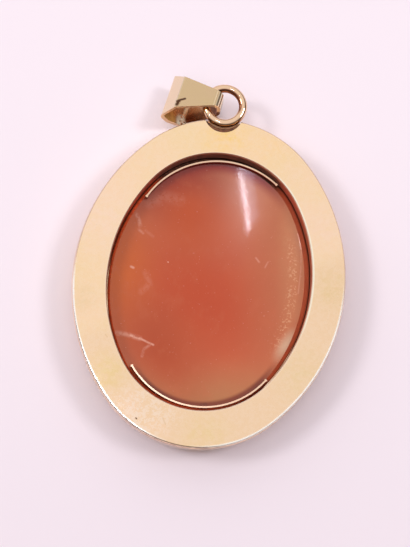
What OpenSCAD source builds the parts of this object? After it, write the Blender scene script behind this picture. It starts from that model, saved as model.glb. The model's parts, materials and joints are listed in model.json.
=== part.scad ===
// Cameo pendant lying face down: a hollow gold oval frame with a soldered ring, a carved shell
// held in it by two thin strips, and a tapered bail threaded on the ring.
// The back plate faces +Z, the ring is towards +Y, and the front rests on Z = 0.

/* [Frame] */
// Width of the frame across the widest point
frame_width = 34; // [33:0.1:35]
// Length of the frame without its ring
frame_length = 41.9; // [41:0.1:43]
// Angle, from the crossways line, at which the frame's sides turn into its rounded ends
frame_shoulder = 45; // [43:0.5:47]
// Thickness from the front's crest to the back plate's face
frame_depth = 5.2; // [5:0.1:5.8]
// Radius of the rounded front
front_round = 2.4; // [2.3:0.05:2.5]
// Thickness of the rounded front's and the side's sheet
sheet = 0.4; // [0.35:0.05:0.5]
// Thickness of the flat back plate
plate_sheet = 0.5; // [0.4:0.05:0.8]
// Width of the sloping edge round the back plate
edge_slope = 0.15; // [0.05:0.05:0.3]
// Height of the sloping edge round the back plate
edge_slope_height = 0.7; // [0.5:0.1:1]
// Width of the small chamfer between the sloping edge and the plate's face
edge_chamfer = 0.08; // [0.04:0.01:0.12]

/* [Opening] */
// Width of the back plate beside the opening
plate_side = 4.32; // [4.15:0.01:4.6]
// Width of the back plate beyond the ends of the opening
plate_end = 4.65; // [4.4:0.01:4.9]
// Angle, from the crossways line, at which the opening's sides turn into its rounded ends
opening_shoulder = 34.5; // [33:0.5:37]
// Width of the chamfer on the opening's edge
opening_chamfer = 0.1; // [0.05:0.01:0.2]
// Thickness of the wall that lines the opening
collar = 0.35; // [0.3:0.05:0.5]
// Distance that the front lip reaches in under the shell
lip_reach = 0.55; // [0.4:0.05:0.8]
// Height of the lip's underside above the front's crest
lip_height = 1; // [0.9:0.05:1.2]

/* [Ring] */
// Outer diameter of the soldered ring
ring_diameter = 5.72; // [5.5:0.1:6]
// Diameter of the ring's wire
ring_wire = 1.05; // [0.95:0.05:1.15]
// Distance of the ring's centre beyond the frame's end
ring_beyond = 1.83; // [1.7:0.05:1.95]
// Sideways distance of the ring from the middle of the frame
ring_side = 1.6; // [1:0.1:2]
// Depth of the ring's centre under the back plate's face
ring_sunk = 0.75; // [0.6:0.05:0.9]
// Depth that the ring sinks into the frame's side where it is soldered
solder_depth = 0.12; // [0.08:0.01:0.2]
// Radius of the two beads of solder under the ring
solder_bead = 0.5; // [0.4:0.05:0.6]
// Radius of the round notch in the back plate
notch_radius = 2.5; // [2.4:0.05:2.7]
// Distance of the notch's centre beyond the frame's end
notch_beyond = 0.55; // [0.5:0.05:0.7]
// Thickness of the floor under the notch
notch_floor_sheet = 0.3; // [0.25:0.05:0.5]
// Distance that this floor reaches past the notch's edge
notch_floor_reach = 0.6; // [0.4:0.05:0.8]

/* [Shell] */
// Gap between the shell and the wall round it
shell_gap = 0.08; // [0.05:0.01:0.12]
// Gap between the shell and the lip, and between the shell and the strips
seat_gap = 0.05; // [0.03:0.01:0.08]
// Thickness of the shell at its rim
shell_rim = 1.75; // [1.4:0.05:2]
// Widest part of the bevel round the shell's back
shell_bevel = 0.68; // [0.5:0.02:0.8]
// Narrowest part of that bevel
shell_bevel_least = 0.3; // [0.2:0.02:0.4]
// Fall of the bevel from the dish to the rim
shell_bevel_fall = 0.2; // [0.1:0.05:0.3]
// Depth of the hollowed back
dish_depth = 1.15; // [0.8:0.05:1.25]
// Width of the flat band by which the shell's front lies on the lip
shell_seat = 0.75; // [0.6:0.05:1]
// Bulge of the shell's front
front_bulge = 0.7; // [0.5:0.05:0.75]
// Height of the carving over its ground
carving_height = 0.5; // [0.2:0.05:0.55]
// Radius of the carved rose
rose_radius = 5.2; // [4.5:0.1:5.6]
// Length of a carved leaf
leaf_length = 5.4; // [4:0.1:6]
// Radius of a carved small blossom
blossom_radius = 1.9; // [1.4:0.1:2.2]
// Half the width of a carved stem
stem_half = 0.45; // [0.3:0.05:0.6]

/* [Strips] */
// Thickness of the two holding strips
strip_sheet = 0.2; // [0.15:0.05:0.3]
// Height of the strips
strip_height = 0.95; // [0.6:0.05:1.1]
// Thickness of the strips at their tips
strip_tip = 0.3; // [0.3:0.02:0.36]
// Angle that the thicker tip of a strip takes up
strip_tip_angle = 1.2; // [0.8:0.1:2]
// Distance from the middle of the upper strip to the opening's edge
upper_strip_gap = 0.7; // [0.55:0.05:0.9]
// How much larger the bend radius of the upper strip is than that of the edge beside it
upper_strip_ease = 0.52; // [0.3:0.02:0.6]
// Sideways shift of the upper strip
upper_strip_shift = 0.33; // [0.2:0.01:0.4]
// Angle that the upper strip reaches on the bail's side
upper_strip_left = 65; // [50:1:70]
// Angle that the upper strip reaches on the other side
upper_strip_right = 35; // [30:1:45]
// Distance from the middle of the lower strip to the opening's edge
lower_strip_gap = 0.54; // [0.5:0.02:0.8]
// How much smaller the bend radius of the lower strip is than that of the edge beside it
lower_strip_ease = 0.19; // [0:0.01:0.3]
// Sideways shift of the lower strip
lower_strip_shift = 0.18; // [0:0.01:0.25]
// Angle that the lower strip reaches on the bail's side
lower_strip_left = 51; // [45:1:60]
// Angle that the lower strip reaches on the other side
lower_strip_right = 57; // [45:1:60]

/* [Bail] */
// Thickness of the bail's sheet
bail_sheet = 0.4; // [0.3:0.05:0.5]
// Distance from the ring's wire to the bail's broad end
bail_reach = 5.25; // [5:0.05:5.6]
// Distance from the ring's wire to the fold behind the bail's face
bail_fold = 3.49; // [3.3:0.02:3.7]
// Distance that the loop goes down under the ring's wire
bail_drop = 4.15; // [4:0.05:4.3]
// Width of the bail at its broad end
bail_width = 6.5; // [5.8:0.1:7]
// Width of the bail at the fold behind its face
bail_fold_width = 4.58; // [4:0.1:5]
// Width of the bail at its narrow end
bail_tip_width = 1.86; // [1.6:0.1:2.2]
// Free space between the ring's wire and the bail's face
bail_play = 0.38; // [0.35:0.01:0.45]
// Free space between the ring's wire and the bail's narrow end
bail_tip_play = 1.02; // [0.95:0.01:1.15]
// Distance from the ring's wire to the edge where the sheet overlaps itself
bail_lap = 1.2; // [1:0.05:1.4]
// Height of that edge
bail_lap_step = 0.12; // [0.08:0.01:0.15]
// Outer bend radius at the narrow end and at the lowest point
bail_bend = 1.1; // [1:0.05:1.3]
// Outer bend radius of the fold behind the face
bail_fold_bend = 0.45; // [0.42:0.01:0.6]
// Outer bend radius below the broad end
bail_end_bend = 0.9; // [0.7:0.05:1.1]
// Outer bend radius of the loop's outer side
bail_side_bend = 2; // [1.6:0.1:2.2]
// Angle between the bail's fold and a square cut across it
bail_slant = 4.7; // [3:0.1:6]
// Angle between the bail's length and the frame's width
bail_turn = 2.3; // [1:0.1:4]
// Place of the bail on the ring, as an angle from the frame's width
bail_place = 6; // [4:0.5:8]
// Lean of the bail to the far side
bail_roll = 10.3; // [9:0.1:11]
// Height of the bail's lowest point above the ground
bail_clear = 0.06; // [0.03:0.01:0.12]

/* [Hidden] */
$fn = 128;
half_w = frame_width / 2;
half_l = frame_length / 2;
open_w = half_w - plate_side;
open_l = half_l - plate_end;
lip_top = lip_height + sheet;
lip_in = front_round + sqrt(pow(front_round - sheet / 2, 2) - pow(front_round - lip_height - sheet / 2, 2));
shell_front = lip_top + seat_gap;
shell_back = shell_front + shell_rim;
strip_foot = shell_back + seat_gap;
wire_r = ring_wire / 2;
ring_r = (ring_diameter - ring_wire) / 2;
ring_x = -ring_side;
ring_y = half_l + ring_beyond;
ring_z = frame_depth - ring_sunk;
notch_floor = ring_z - wire_r + solder_depth;
solder_x = sqrt(pow(ring_r, 2) - pow(ring_beyond + sheet / 2, 2));
// How far cuts run past a face, slightly and amply
overlap = 0.05;
past = 1;
spokes = 88;
front_rings = 18;
back_rings = 10;

// An oval is [half width, half length, shoulder angle]
frame_oval = [half_w, half_l, frame_shoulder];
opening_oval = [open_w, open_l, opening_shoulder];
shell_oval = [open_w - shell_gap, open_l - shell_gap, opening_shoulder];
// The same oval with its outline moved outwards by d
function grown(o, d) = [o[0] + d, o[1] + d, o[2]];
// Difference between the radii of an oval's side arcs and end arcs
function spread(o) = (o[1] - o[0]) / (sin(o[2]) + cos(o[2]) - 1);
function end_radius(o) = o[0] - spread(o) * (1 - cos(o[2]));
function side_radius(o) = o[0] + spread(o) * cos(o[2]);
// A vector to the nearest thousandth
function coarse(v) = [for (x = v) round(x * 1000) / 1000];

// Moves by a coarse and a fine step, so that neighbouring arcs meet exactly
module shift(v) {
    translate(coarse(v)) translate(v - coarse(v)) children();
}

// Sweeps a profile round an oval; the profile's x is measured outwards from the outline
module oval_sweep(o) {
    j = o[2];
    for (end = [0, 1]) rotate([0, 0, 180 * end]) {
        shift([0, spread(o) * sin(j), 0])
            rotate_extrude(angle = 180 - 2 * j, start = j) shift([end_radius(o), 0]) children();
        shift([-spread(o) * cos(j), 0, 0])
            rotate_extrude(angle = 2 * j, start = -j) shift([side_radius(o), 0]) children();
    }
}

// A flat oval slab; each end is a band inside its arc and a core round the arc's centre
module oval_slab(o, low, high) {
    j = o[2];
    band = 6;
    core_gap = 2;
    for (end = [0, 1]) rotate([0, 0, 180 * end]) {
        shift([0, spread(o) * sin(j), low])
            rotate_extrude(angle = 180 - 2 * j, start = j) {
                shift([end_radius(o), 0]) translate([-band, 0]) square([band, high - low]);
                square([end_radius(o) - core_gap, high - low]);
            }
        shift([-spread(o) * cos(j), 0, low])
            rotate_extrude(angle = 2 * j, start = -j)
                shift([side_radius(o), 0]) translate([-o[0], 0]) square([o[0], high - low]);
    }
}

// The frame's hollow section: the side, the rounded front and the plate's outer edge
module rim_section() {
    difference() {
        union() {
            translate([-front_round, front_round]) rotate(90) circle(front_round);
            translate([-front_round, front_round]) square([front_round, frame_depth - front_round]);
        }
        translate([-front_round, front_round]) rotate(90) circle(front_round - sheet);
        polygon([[-2 * front_round, lip_top], [-front_round, lip_top], [-front_round, front_round],
                 [-sheet, front_round], [-sheet, frame_depth - plate_sheet],
                 [-2 * sheet, frame_depth - plate_sheet], [-2 * sheet, frame_depth + past],
                 [-2 * front_round, frame_depth + past]]);
        polygon([[0, frame_depth - edge_slope_height], [past, frame_depth - edge_slope_height],
                 [past, frame_depth + past], [-edge_slope - edge_chamfer, frame_depth + past],
                 [-edge_slope - edge_chamfer, frame_depth], [-edge_slope, frame_depth - edge_chamfer]]);
    }
}

// The chamfer on the opening's edge
module opening_edge() {
    c = opening_chamfer;
    oval_sweep(opening_oval)
        polygon([[-overlap, frame_depth - c - overlap], [c + overlap, frame_depth + overlap],
                 [-overlap, frame_depth + overlap]]);
}

module ring() {
    translate([ring_x, ring_y, ring_z]) rotate_extrude() translate([ring_r, 0]) circle(wire_r, $fn = 48);
}

// The floor under the notch, joined to the frame's side
module notch_seat() {
    intersection() {
        translate([ring_x, half_l + notch_beyond, notch_floor - notch_floor_sheet])
            cylinder(r = notch_radius + notch_floor_reach, h = notch_floor_sheet);
        oval_slab(grown(frame_oval, -sheet / 2), 0, frame_depth);
    }
}

module frame() {
    color("goldenrod") {
        difference() {
            union() {
                oval_sweep(frame_oval) rim_section();
                oval_slab(grown(frame_oval, -1.5 * sheet), frame_depth - plate_sheet, frame_depth);
                oval_slab(grown(frame_oval, -lip_in), lip_height, lip_top);
                oval_slab(grown(opening_oval, collar), lip_height + sheet / 2,
                          frame_depth - plate_sheet / 2);
                notch_seat();
            }
            oval_slab(opening_oval, lip_top, frame_depth + past);
            oval_slab(grown(shell_oval, -lip_reach), -past, frame_depth);
            opening_edge();
            translate([ring_x, half_l + notch_beyond, notch_floor])
                cylinder(r = notch_radius, h = frame_depth);
        }
        ring();
        for (side = [-1, 1])
            translate([ring_x + side * solder_x, half_l - sheet / 2, notch_floor])
                sphere(solder_bead, $fn = 48);
    }
}

// Distance of an oval's outline from its centre in the direction t
function reach(o, t) =
    let (e = spread(o), x = abs(cos(t)), y = abs(sin(t)),
         up = e * sin(o[2]), back = e * cos(o[2]), r = end_radius(o), s = side_radius(o),
         end = y * up + sqrt(max(0, r * r - pow(x * up, 2))),
         side = -x * back + sqrt(max(0, s * s - pow(y * back, 2))))
    (y * end - up) * cos(o[2]) > x * end * sin(o[2]) ? end : side;

// Width of the bevel round the shell's back in the direction t
function bevel(t) =
    shell_bevel_least + (shell_bevel - shell_bevel_least) * (1 + cos(t - 40)) / 2;

// The carving's places, as shares of the shell's half width and half length
rose_up = 0.074;
// Leaves: [across, up, direction]
leaves = [[-0.254, 0.308, 125], [0.032, 0.395, 84], [0.317, 0.271, 47], [0.397, 0.025, -12],
          [-0.397, 0.037, 194], [-0.27, -0.185, 222], [0.206, -0.197, -42]];
// Blossoms: [across, up]
blossoms = [[-0.492, 0.395], [0.524, 0.456], [-0.135, -0.567], [0.341, -0.592]];
// Stems: [across and up of the bend's centre, radius as a share of the half width, first and last angle]
stems = [[0.714, -0.395, 0.762, 164, 180], [0.683, -0.259, 0.556, -165, -112]];

// A rounded swelling that is 1 in the middle and 0 from the distance 1 on
function swell(d) = d >= 1 ? 0 : 1 - d * d;
// Height of a ring of n petals with the radius r, turned by the angle a, at the polar place d, t
function petals(d, t, r, n, a) =
    let (edge = r * (0.86 + 0.14 * abs(cos(n * (t - a) / 2))), f = d / edge)
    f >= 1 ? 0 : 0.55 + 0.45 * f * f - 0.25 * pow(abs(sin(n * (t - a) / 2)), 6);
// The rose: three rings of petals, each higher than the one round it, and a rolled heart
function rose(x, y) =
    let (d = norm([x, y]) / rose_radius, t = atan2(y, x))
    d >= 1 ? 0 : max(0.62 * petals(d, t, 1, 7, 10), 0.8 * petals(d, t, 0.7, 5, 40),
                     0.93 * petals(d, t, 0.42, 4, 5), swell(d / 0.17));
// A leaf from the point p along the direction a, with a groove down its middle
function leaf(x, y, p, a) =
    let (u = ((x - p[0]) * cos(a) + (y - p[1]) * sin(a)) / leaf_length,
         v = (-(x - p[0]) * sin(a) + (y - p[1]) * cos(a)) / leaf_length,
         half = u <= 0 || u >= 1 ? 0.001 : 0.30 * sin(180 * pow(u, 0.8)))
    u <= 0 || u >= 1 || abs(v) >= half ? 0
        : 0.6 * (1 - 0.6 * pow(v / half, 2)) * min(1, 6 * (1 - u)) - 0.25 * max(0, 1 - abs(v) / 0.05);
// A small blossom of five petals
function blossom(x, y, p) =
    let (d = norm([x - p[0], y - p[1]]) / blossom_radius, t = atan2(y - p[1], x - p[0]))
    max(0.75 * petals(d, t, 1, 5, 18), 0.9 * swell(d / 0.3));
// A stem bent round the centre c with the radius r, between the angles a and b
function stem(x, y, c, r, a, b) =
    let (d = norm([x - c[0], y - c[1]]), t = atan2(y - c[1], x - c[0]))
    t < a || t > b ? 0 : 0.5 * swell(abs(d - r) / stem_half);
// A place on the shell, given as shares of its half width and half length
function spot(row) = [row[0] * shell_oval[0], row[1] * shell_oval[1]];
// Height of the carving, from 0 to 1: a rose with leaves, small blossoms and a stem
function carving(x, y) =
    max(concat([0, rose(x, y - rose_up * shell_oval[1])],
               [for (k = leaves) leaf(x, y, spot(k), k[2])],
               [for (k = blossoms) blossom(x, y, spot(k))],
               [for (k = stems) stem(x, y, spot(k), k[2] * shell_oval[0], k[3], k[4])]));

// The shell: a dished slab with a bevel behind and a bulging carved front
module shell_body() {
    turns = [for (i = [0:spokes - 1]) 360 * i / spokes];
    function at(t, f, inset) = f * (reach(shell_oval, t) - inset) * [cos(t), sin(t)];
    function front(p, f) = concat(p, shell_front - front_bulge * (1 - f * f)
                                     - carving_height * carving(p[0], p[1]));
    points = concat(
        [[0, 0, shell_back - dish_depth]],
        [for (k = [1:back_rings]) for (t = turns) let (f = k / back_rings)
            concat(at(t, f, bevel(t)), shell_back - dish_depth * (1 - f * f))],
        [for (t = turns) concat(at(t, 1, 0), shell_back - shell_bevel_fall)],
        [for (t = turns) concat(at(t, 1, 0), shell_front)],
        [for (k = [front_rings:-1:1]) for (t = turns) let (f = k / front_rings)
            front(at(t, f, shell_seat), f)],
        [front([0, 0], 0)]);
    last = len(points) - 1;
    rows = (last - 1) / spokes;
    function next(i) = (i + 1) % spokes;
    faces = concat(
        [for (i = [0:spokes - 1]) [0, 1 + next(i), 1 + i]],
        [for (k = [0:rows - 2]) for (i = [0:spokes - 1]) let (a = 1 + k * spokes, b = a + spokes)
            each [[a + i, a + next(i), b + i], [a + next(i), b + next(i), b + i]]],
        [for (i = [0:spokes - 1]) let (a = 1 + (rows - 1) * spokes) [a + i, a + next(i), last]]);
    polyhedron(points, faces, convexity = 6);
}

module cameo() {
    color("peru") shell_body();
}

// A standing strip, bent with the radius bend between two angles; its ends are a little thicker
module strip(bend, from, to) {
    rotate_extrude(angle = to - from, start = from)
        translate([bend - strip_sheet / 2, 0]) square([strip_sheet, strip_height]);
    for (a = [from, to - strip_tip_angle])
        rotate_extrude(angle = strip_tip_angle, start = a)
            translate([bend - strip_tip / 2, 0]) square([strip_tip, strip_height]);
}

module upper_strip() {
    bend = end_radius(opening_oval) - upper_strip_gap + upper_strip_ease;
    color("gold") translate([upper_strip_shift, open_l - upper_strip_gap - bend, strip_foot])
        strip(bend, 90 - upper_strip_right, 90 + upper_strip_left);
}

module lower_strip() {
    bend = end_radius(opening_oval) - lower_strip_gap - lower_strip_ease;
    color("gold") translate([lower_strip_shift, lower_strip_gap + bend - open_l, strip_foot])
        strip(bend, -90 - lower_strip_left, lower_strip_right - 90);
}

// The bail's outer line seen along its fold: [towards the narrow end, up, bend radius]
bail_top = wire_r + bail_play + bail_sheet;
bail_tip = wire_r + bail_tip_play + bail_sheet;
bail_loop = [[-0.56 * bail_reach, -bail_drop, bail_bend], [bail_tip, -bail_top, bail_bend],
             [bail_tip, bail_top, bail_bend], [-bail_fold, bail_top, bail_fold_bend],
             [-1.01 * bail_reach, -0.06 * bail_drop, bail_end_bend],
             [-0.88 * bail_reach, -0.5 * bail_drop, bail_side_bend]];

// Unit vector from p to q
function along(p, q) = let (d = [q[0] - p[0], q[1] - p[1]]) d / norm(d);
function leftwards(u) = [-u[1], u[0]];
// The corner k of a closed line as [corner, left normal before, left normal after, turn]
function corner(line, k) =
    let (n = len(line), p = line[(k + n - 1) % n], q = line[k], s = line[(k + 1) % n],
         u = along(p, q), v = along(q, s))
    [[q[0], q[1]], leftwards(u), leftwards(v), atan2(u[0] * v[1] - u[1] * v[0], u * v)];
// Shift of a corner when both of its sides move inwards by 1
function miter(c) = (c[1] + c[2]) / (1 + c[1] * c[2]);
// Centre of the bend at the corner k
function bend_centre(line, k) = let (c = corner(line, k)) c[0] + line[k][2] * miter(c);
// The closed line moved inwards by d, with its corners bent
function bent(line, d) =
    [for (k = [0:len(line) - 1])
        let (c = corner(line, k), r = max(line[k][2] - d, 0.05), m = c[0] + (d + r) * miter(c))
        for (i = [0:8]) let (a = c[3] * i / 8)
            m - r * [c[1][0] * cos(a) - c[1][1] * sin(a), c[1][0] * sin(a) + c[1][1] * cos(a)]];

// Lean of the bail along its length, at which its lowest point is at bail_clear
low_bend = bend_centre(bail_loop, 0);
low_half = (bail_fold_width + (bail_fold_width - bail_tip_width) * (low_bend[0] + bail_fold)
            / (-bail_fold - bail_tip)) / 2 * cos(bail_slant) + low_bend[0] * sin(bail_slant);
low_rise = low_bend[1] * cos(bail_roll) - low_half * sin(bail_roll);
low_goal = bail_clear + bail_loop[0][2] * cos(bail_roll) - ring_z;
bail_pitch = asin(low_goal / norm([low_bend[0], low_rise])) - atan2(low_rise, -low_bend[0]);

// Outline of the bail seen on its face
module bail_plan() {
    rotate(bail_slant)
        polygon([[-1.1 * bail_reach, bail_width / 2], [-1.1 * bail_reach, -bail_width / 2],
                 [-bail_fold, -bail_fold_width / 2], [bail_tip, -bail_tip_width / 2],
                 [bail_tip, bail_tip_width / 2], [-bail_fold, bail_fold_width / 2]]);
}

module bail() {
    long = 3 * bail_reach;
    color("gold")
        translate([ring_x - ring_r * cos(bail_place), ring_y + ring_r * sin(bail_place), ring_z])
            rotate([-bail_roll, bail_pitch, -bail_turn - bail_slant])
                difference() {
                    intersection() {
                        rotate([90, 0, 0])
                            linear_extrude(long, center = true) polygon(bent(bail_loop, 0));
                        linear_extrude(long, center = true) bail_plan();
                    }
                    rotate([90, 0, 0])
                        linear_extrude(2 * long, center = true) polygon(bent(bail_loop, bail_sheet));
                    translate([bail_lap, -long, bail_top - bail_lap_step]) cube([long, 2 * long, long]);
                }
}

frame();
cameo();
upper_strip();
lower_strip();
bail();
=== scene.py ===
import json
import math

import bpy
import numpy as np
from mathutils import Matrix, Vector


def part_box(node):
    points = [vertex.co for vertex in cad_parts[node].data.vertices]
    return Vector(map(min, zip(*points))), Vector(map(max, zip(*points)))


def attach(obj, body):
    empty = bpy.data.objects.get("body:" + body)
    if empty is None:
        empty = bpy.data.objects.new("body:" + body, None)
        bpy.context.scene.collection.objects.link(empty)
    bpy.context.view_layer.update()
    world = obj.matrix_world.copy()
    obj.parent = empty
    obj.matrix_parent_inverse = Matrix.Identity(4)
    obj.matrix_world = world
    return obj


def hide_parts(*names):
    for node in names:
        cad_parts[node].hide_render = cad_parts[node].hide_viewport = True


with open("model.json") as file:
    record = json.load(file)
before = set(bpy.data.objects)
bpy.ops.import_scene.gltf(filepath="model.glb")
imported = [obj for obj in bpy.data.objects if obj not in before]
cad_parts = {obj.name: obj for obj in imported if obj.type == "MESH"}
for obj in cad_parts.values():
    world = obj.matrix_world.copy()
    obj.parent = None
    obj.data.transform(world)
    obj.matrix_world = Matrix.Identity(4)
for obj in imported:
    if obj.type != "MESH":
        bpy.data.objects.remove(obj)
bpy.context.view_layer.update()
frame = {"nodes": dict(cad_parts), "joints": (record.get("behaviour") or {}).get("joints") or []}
nodes = frame["nodes"]

MM = 0.001


def in_mm(place):
    """A place in metres turned to millimetres, to a hundredth."""
    return tuple(round(value / MM, 2) for value in place)


# Places that come with the frame; all sizes below are in millimetres
frame_low, frame_high = (in_mm(corner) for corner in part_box("frame"))
shell_high = in_mm(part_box("cameo")[1])
strip_top = in_mm(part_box("upper_strip")[1])[2]
ring_middle = in_mm(frame["joints"][0]["pos_m"])
plate_face = frame_high[2]
shell_back = shell_high[2]

# The ovals, as half width, half length and shoulder angle in degrees
frame_shoulder = 45
opening_shoulder = 34.5
shell_gap = 0.08
frame_oval = (frame_high[0], -frame_low[1], frame_shoulder)
shell_oval = (shell_high[0], shell_high[1], opening_shoulder)
opening_oval = (shell_oval[0] + shell_gap, shell_oval[1] + shell_gap, opening_shoulder)

# The ring and the notch that it is sunk in
ring_diameter = 5.72
ring_wire = 1.05
solder_depth = 0.12
notch_radius = 2.5
notch_beyond = 0.55
notch_middle = (ring_middle[0], frame_oval[1] + notch_beyond)
notch_depth = plate_face - (ring_middle[2] - ring_wire / 2 + solder_depth)

# The shell
shell_rim = 1.75
shell_front = shell_back - shell_rim
shell_seat = 0.75
front_bulge = 0.70
dish_depth = 1.15
bevel_fall = 0.20
bevel_wide = 0.68
bevel_narrow = 0.30
# The direction in which the bevel is widest, in degrees
bevel_widest_at = 40
# Points in each ring of the mesh, and the number of rings on the back and on the front
spokes, back_rings, front_rings = 360, 40, 110
# Edges that bend by more than this angle, in degrees, are shaded sharp
sharp_angle = 12

# The carving, with its places as shares of the shell's half width and half length, directions in degrees
carving_height = 0.50
rose_radius = 5.2
leaf_length = 5.4
blossom_radius = 1.9
stem_half = 0.45
stem_height = 0.5
rose_up = 0.074
leaves = ((-0.254, 0.308, 125), (0.032, 0.395, 84), (0.317, 0.271, 47), (0.397, 0.025, -12),
          (-0.397, 0.037, 194), (-0.27, -0.185, 222), (0.206, -0.197, -42))
blossoms = ((-0.492, 0.395), (0.524, 0.456), (-0.135, -0.567), (0.341, -0.592))
# The stems' bends: centre, radius, first and last direction
stems = ((0.714, -0.395, 0.762, 164, 180), (0.683, -0.259, 0.556, -165, -112))
# Rings of petals, as height, radius, number of petals and first direction; buds, as height and radius
rose_rings = ((0.62, 1.0, 7, 10), (0.80, 0.70, 5, 40), (0.93, 0.42, 4, 5))
rose_bud = (1.0, 0.17)
blossom_ring = (0.75, 1.0, 5, 18)
blossom_bud = (0.9, 0.3)
# Petals, as shares of their radius and of the carving's height
petal_scallop = 0.14
petal_middle = 0.55
petal_groove = 0.25
petal_vein = 0.025
petal_veins = 9
petal_rim = 0.05
# Leaves, as shares of their length and of the carving's height
leaf_half = 0.30
leaf_skew = 0.8
leaf_tooth = 0.05
leaf_tooth_rate = 40
leaf_top = 0.6
leaf_fall = 0.6
leaf_tip_slope = 6
leaf_vein = 0.05
leaf_vein_rate = 38
leaf_vein_slant = 0.9
leaf_groove = 0.25
leaf_groove_half = 0.03
leaf_rim = 0.10

# Noises: size, detail, roughness, stretch in three directions and turn
noises = {
    "cloud": (7.0, 3.0, 0.55),
    "fine": (0.35, 3.0, 0.6),
    "lines": (0.5, 2.0, 0.5, (5, 0.25, 1), 0.5),
    "cross lines": (0.5, 2.0, 0.5, (4, 0.2, 1), -0.9),
    "shell's cloud": (6.0, 4.0, 0.6),
    "shell's relief": (0.34, 2.0, 0.7),
    "bevel's relief": (0.3, 3.0, 0.5),
    "carved ground": (6.0, 3.0, 0.5),
    "carving's relief": (0.4, 3.0, 0.6),
    "paper's relief": (0.6, 3.0, 0.6),
}

# Patterns of noise: size, detail, roughness, and the two levels between which each fades in
patterns = {
    "stain": (1.3, 4.0, 0.65, 0.35, 0.65),
    "grain": (0.45, 3.0, 0.7, 0.42, 0.60),
    "broken line": (0.45, 3.0, 0.7, 0.30, 0.42),
    "foot_shade": (0.4, 3.0, 0.7, 0.44, 0.56),
    "notch shade": (0.8, 3.0, 0.6, 0.4, 0.6),
    "side shade": (1.1, 3.0, 0.6, 0.45, 0.6),
    "glint": (0.5, 2.0, 0.6, 0.32, 0.46),
    "dent": (0.35, 3.0, 0.7, 0.24, 0.44),
    "veil": (1.8, 4.0, 0.65, 0.50, 0.70),
    "torn": (0.5, 3.0, 0.7, 0.34, 0.55),
    "band": (0.28, 2.0, 0.6, 0.52, 0.66),
    "specks": (0.22, 1.0, 0.5, 0.73, 0.78),
    "bevel": (0.6, 3.0, 0.7, 0.45, 0.62),
    "bevel streaks": (0.5, 3.0, 0.7, 0.48, 0.60),
}

# Depths of the small relief that only the light shows, and how rough the golds and the shell are
relief_depths = {
    "frame": 0.00012,
    "strip": 0.0004,
    "bail": 0.0004,
    "shell": 0.0016,
    "bevel": 0.003,
    "carving": 0.004,
    "paper": 0.004,
}
gold_roughness = {"frame": 0.032, "strip": 0.20, "bail": 0.12}
gold_roughness_wander = 0.3
shell_roughness = (0.16, 0.20)
# Levels of the cloudiness between which roughness and wear change, and of the fine lines where they show
cloud_levels = (0.3, 0.7)
line_levels = (0.66, 0.72)
cross_line_levels = (0.68, 0.74)
# The share of the fine noise in the golds' roughness and in their relief
fine_in_roughness = 0.4
fine_in_relief = 0.5

# Ways that a surface faces: direction, and the two levels between which each fades in
facings = {
    "flat": ((0, 0, 1), 0.85, 0.97),
    "up": ((0, 0, 1), 0.1, 0.4),
    "ring's flank": ((0.1, -1, -0.1), 0.25, 0.70),
    "bail's broad end": ((-1, -0.2, 0.2), 0.35, 0.70),
    "bail's lit cut edge": ((0.05, -1, 0.1), 0.80, 0.92),
    "bail's narrow end": ((1, 0.1, 0.2), 0.30, 0.50),
}

# Sectors round the middle: direction and spread to either side, in degrees. A sector's mask is 1 in the
# core, which is this share of the spread
sector_core = 0.6
sectors = {
    "wedge": (24, 52),
    "ring's end": (92, 72),
    "lower left": (222, 45),
    "lower right": (320, 52),
    "upper right": (60, 80),
    "upper left": (140, 50),
    "foot": (266, 24),
    "wall's left": (180, 80),
    "wall's ring end": (95, 62),
    "shell's foot": (-82, 42),
    "shell's right": (0, 44),
}

# How far the colours of the notch and of the ring reach past their outlines
notch_margin = 0.12
ring_margin = 0.09

# Round patches: middle, radius, softness, squash in two directions and turn
patches = {
    "worn plate": ((-6.2, -17.9), 5.8, 0.8, (0.75, 1.2), 0.5),
    "notch": (notch_middle, notch_radius + notch_margin, 0.02),
    "ring": (ring_middle, ring_diameter / 2 + ring_margin, 0.01),
    "bail's left": ((-8.6, 20.4), 1.9, 0.6),
    "bail's glint": ((-6.8, 20.7), 0.85, 0.5, (1.0, 0.6), 0.3),
    "bail's shade": ((-2.8, 22.1), 1.5, 0.4),
    "shell's rim": ((0.5, 15.5), 9.5, 0.7, (0.85, 1.2)),
    "bevel's streaks": ((-1.5, 17.0), 11.0, 0.25, (1.0, 1.4)),
}

# Depths under the plate's face between which the frame's zones fade
depths = {
    "top": (0.15, 0.25),
    "pits": (0.20, 0.40),
    "outer line": (0.17, 0.25),
    "grey line": (0.40, 0.60),
    "foot_shade": (0.50, 1.30),
    "wall's top": (0.10, 0.16),
    "wall's foot": (2.80, 3.20),
    "wall's shadow": (1.80, 2.20),
    "notch's top": (0.90, 1.00),
    "notch's floor": (notch_depth + 0.02, notch_depth + 0.10),
    "ring": (1.20, 1.30),
    "side shade": (0.60, 3.20),
}

# Distances between which those zones fade, outside the opening's outline and outside the rim's
opening_distances = {
    "inner line": (0.10, 0.26),
    "wedge": (0.16, 0.36),
    "chamfer": (0.14, 0.18),
    "wall": (0.02, 0.06),
}
rim_distances = {
    "outer line": (-0.46, -0.28),
    "grey line": (-0.34, -0.22),
    "foot_shade": (-0.20, -0.10),
    "ring": (-1.5, -1.4),
}

# Heights over the floor between which the strips' dark sides and the bail's zones fade
strip_heights = (strip_top - 0.12, strip_top - 0.03)
bail_heights = {
    "face": (4.8, 5.2),
    "inside": (4.0, 4.4),
    "shade": (4.2, 4.5),
}

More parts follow.
